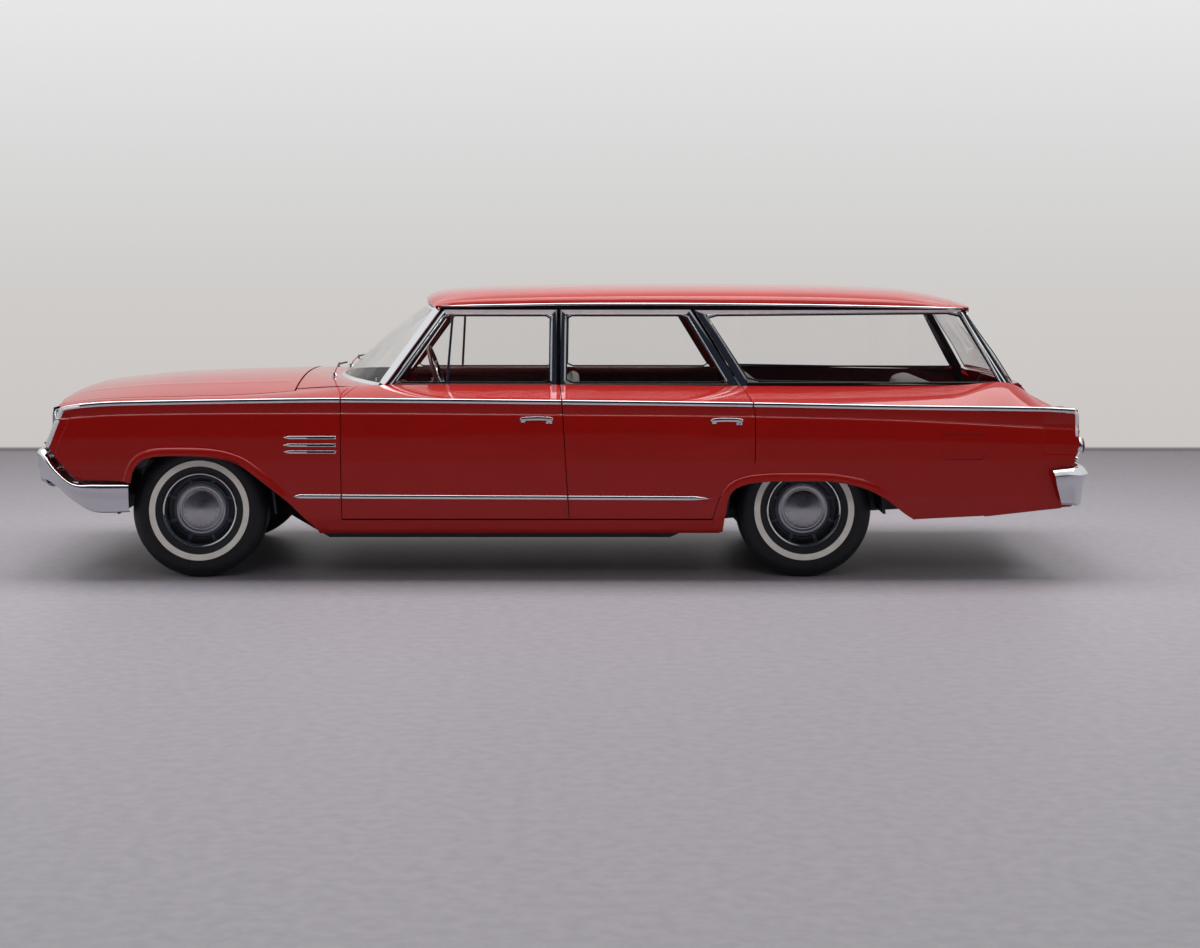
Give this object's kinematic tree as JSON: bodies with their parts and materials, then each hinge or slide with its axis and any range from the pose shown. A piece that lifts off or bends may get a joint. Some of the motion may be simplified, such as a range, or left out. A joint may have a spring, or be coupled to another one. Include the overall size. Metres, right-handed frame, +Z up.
{
  "type": "station wagon",
  "caption": "Full-size red station wagon with bright side strips, opening doors, hood and tailgate, steered front wheels and a glazed cargo bay.",
  "frame": {"origin": "on the floor, under the middle of the length and width", "axes": "+X to the rear, +Y to the passenger's (right) side, +Z up; the nose points to -X"},
  "size_m": [5.342, 2.0304, 1.4672],
  "materials": {
    "body_paint": "gloss red enamel",
    "chrome": "polished chrome plate",
    "grille_metal": "bright anodised metal",
    "glass": "clear safety glass",
    "lamp_red": "red moulded lens",
    "tyre": "black rubber with a whitewall",
    "wheel_steel": "bright full wheel cover",
    "black_steel": "satin black chassis paint",
    "cast_iron": "bare casting",
    "seat_vinyl": "pale grey pleated vinyl",
    "dash_vinyl": "dark red padded vinyl"
  },
  "bodies": {
    "body": {"underbody": "body_paint", "chassis_frame": "black_steel", "front_fender_left": "body_paint", "front_fender_right": "body_paint", "rear_quarter_left": "body_paint", "rear_quarter_right": "body_paint", "roof": "body_paint", "body_side_left": "body_paint", "body_side_right": "body_paint", "windshield": "glass", "cargo_glass_left": "glass", "cargo_glass_right": "glass", "tailgate_glass": "glass", "front_bumper": "chrome", "rear_bumper": "chrome", "grille": "grille_metal", "tail_lamp_left": "lamp_red", "tail_lamp_right": "lamp_red", "front_seat": "seat_vinyl", "second_seat": "seat_vinyl", "third_seat": "seat_vinyl", "dashboard": "dash_vinyl", "front_suspension": "black_steel", "rear_axle": "black_steel", "engine": "cast_iron", "exhaust": "black_steel"},
    "front_door_left": {"front_door_left": "body_paint", "front_door_glass_left": "glass"},
    "front_door_right": {"front_door_right": "body_paint", "front_door_glass_right": "glass"},
    "rear_door_left": {"rear_door_left": "body_paint", "rear_door_glass_left": "glass"},
    "rear_door_right": {"rear_door_right": "body_paint", "rear_door_glass_right": "glass"},
    "hood": {"hood": "body_paint"},
    "tailgate": {"tailgate": "body_paint"},
    "knuckle_left": {"knuckle_left": "cast_iron"},
    "knuckle_right": {"knuckle_right": "cast_iron"},
    "steering_wheel": {"steering_wheel": "dash_vinyl"},
    "front_wheel_left": {"front_wheel_left": "wheel_steel", "front_tyre_left": "tyre"},
    "front_wheel_right": {"front_wheel_right": "wheel_steel", "front_tyre_right": "tyre"},
    "rear_wheel_left": {"rear_wheel_left": "wheel_steel", "rear_tyre_left": "tyre"},
    "rear_wheel_right": {"rear_wheel_right": "wheel_steel", "rear_tyre_right": "tyre"}
  },
  "joints": [
    {"name": "front_door_left_hinge", "type": "hinge", "parent": "body", "child": "front_door_left", "pos_m": [-1.0476, -0.998, 0.62], "axis": [0, 0, -1], "range_deg": [0, 65]},
    {"name": "rear_door_left_hinge", "type": "hinge", "parent": "body", "child": "rear_door_left", "pos_m": [0.0701, -0.998, 0.62], "axis": [0, 0, -1], "range_deg": [0, 65]},
    {"name": "front_door_right_hinge", "type": "hinge", "parent": "body", "child": "front_door_right", "pos_m": [-1.0476, 0.998, 0.62], "axis": [0, 0, 1], "range_deg": [0, 65]},
    {"name": "rear_door_right_hinge", "type": "hinge", "parent": "body", "child": "rear_door_right", "pos_m": [0.0701, 0.998, 0.62], "axis": [0, 0, 1], "range_deg": [0, 65]},
    {"name": "hood_hinge", "type": "hinge", "parent": "body", "child": "hood", "pos_m": [-1.338, 0, 1.008], "axis": [0, 1, 0], "range_deg": [0, 48]},
    {"name": "tailgate_hinge", "type": "hinge", "parent": "body", "child": "tailgate", "pos_m": [2.47, 0, 0.622], "axis": [0, 1, 0], "range_deg": [0, 88]},
    {"name": "steering_left", "type": "hinge", "parent": "body", "child": "knuckle_left", "pos_m": [-1.818, -0.7, 0.34], "axis": [0, 0, 1], "range_deg": [-30, 30]},
    {"name": "steering_right", "type": "hinge", "parent": "body", "child": "knuckle_right", "pos_m": [-1.818, 0.7, 0.34], "axis": [0, 0, 1], "range_deg": [-30, 30]},
    {"name": "steering_wheel_turn", "type": "hinge", "parent": "body", "child": "steering_wheel", "pos_m": [-0.635, -0.37, 0.951], "axis": [0.954, 0, 0.2999], "range_deg": [-540, 540]},
    {"name": "front_wheel_left_spin", "type": "hinge", "parent": "knuckle_left", "child": "front_wheel_left", "pos_m": [-1.818, -0.7745, 0.34], "axis": [0, 1, 0], "continuous": true},
    {"name": "front_wheel_right_spin", "type": "hinge", "parent": "knuckle_right", "child": "front_wheel_right", "pos_m": [-1.818, 0.7745, 0.34], "axis": [0, 1, 0], "continuous": true},
    {"name": "rear_wheel_left_spin", "type": "hinge", "parent": "body", "child": "rear_wheel_left", "pos_m": [1.23, -0.762, 0.34], "axis": [0, 1, 0], "continuous": true},
    {"name": "rear_wheel_right_spin", "type": "hinge", "parent": "body", "child": "rear_wheel_right", "pos_m": [1.23, 0.762, 0.34], "axis": [0, 1, 0], "continuous": true}
  ],
  "couplings": [
    {"joint": "steering_right", "follows": "steering_left", "ratio": 1},
    {"joint": "steering_wheel_turn", "follows": "steering_left", "ratio": 18}
  ]
}
